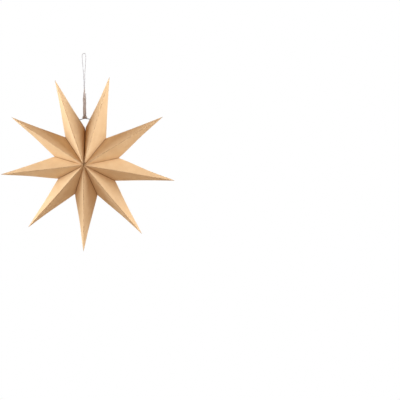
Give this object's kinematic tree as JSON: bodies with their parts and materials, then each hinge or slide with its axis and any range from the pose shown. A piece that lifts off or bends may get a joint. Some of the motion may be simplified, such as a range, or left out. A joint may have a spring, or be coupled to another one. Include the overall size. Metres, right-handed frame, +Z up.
{
  "type": "folded paper star",
  "caption": "Hanging paper star with pointed hollow rays folded from brown card, glued side by side in a ring and closed with a string loop.",
  "frame": {"origin": "the top of the hanging loop, where a hook or nail carries the star", "axes": "+Z up along the string, -Y towards the front of the star, so Y runs through its thin depth, and +X to the right seen from the front"},
  "size_m": [0.2962, 0.075, 0.3342],
  "materials": {
    "brown_card": "matt uncoated",
    "tie_twine": "twisted fibre",
    "pale_string": "twisted fibre"
  },
  "bodies": {
    "root": {"ray_1": "brown_card", "ray_2": "brown_card", "ray_3": "brown_card", "ray_4": "brown_card", "ray_5": "brown_card", "ray_6": "brown_card", "ray_7": "brown_card", "ray_8": "brown_card", "ray_9": "brown_card", "tie_string": "tie_twine", "loop_knot": "tie_twine", "hanging_loop": "pale_string"}
  },
  "joints": []
}
